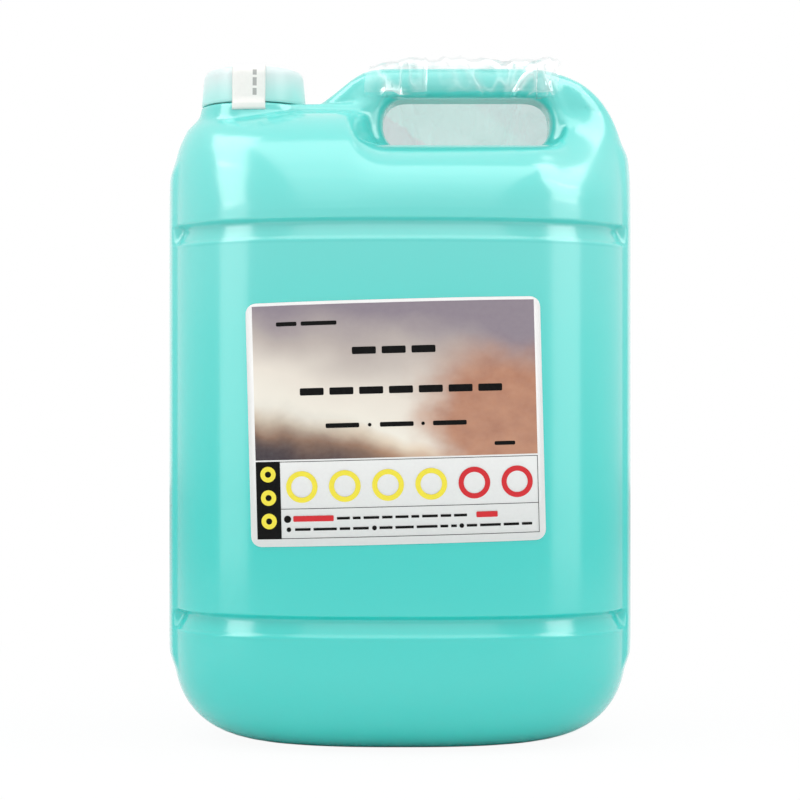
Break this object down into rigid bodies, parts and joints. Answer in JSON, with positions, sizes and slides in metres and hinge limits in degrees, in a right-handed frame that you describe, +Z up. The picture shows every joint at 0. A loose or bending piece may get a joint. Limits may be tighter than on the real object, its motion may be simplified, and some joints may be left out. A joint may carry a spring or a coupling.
{
  "type": "bleach canister",
  "caption": "Blow-moulded liquid bleach canister with moulded-in grip, screw cap under a paper seal, front label and clear wrap.",
  "frame": {"origin": "middle of the box round the part, on the surface it stands on", "axes": "+Z up, front with the label faces -Y, +X to the viewer's right, the cap is at -X"},
  "size_m": [0.188, 0.1304, 0.2761],
  "materials": {
    "body_plastic": "glossy moulded polyethylene, mint",
    "cap_plastic": "translucent pale mint, smooth",
    "liner_foam": "foamed liner",
    "seal_paper": "coated white paper",
    "label_paper": "coated white paper",
    "picture_print": "printed field",
    "black_print": "printed black",
    "yellow_print": "printed yellow",
    "red_print": "printed red",
    "clear_film": "crumpled clear film"
  },
  "bodies": {
    "root": {"canister_body": "body_plastic", "screw_cap": "cap_plastic", "cap_liner": "liner_foam", "seal_strip": "seal_paper", "front_label": "label_paper", "label_picture": "picture_print", "label_black_print": "black_print", "label_yellow_marks": "yellow_print", "label_red_marks": "red_print", "grip_wrap": "clear_film"}
  },
  "joints": []
}
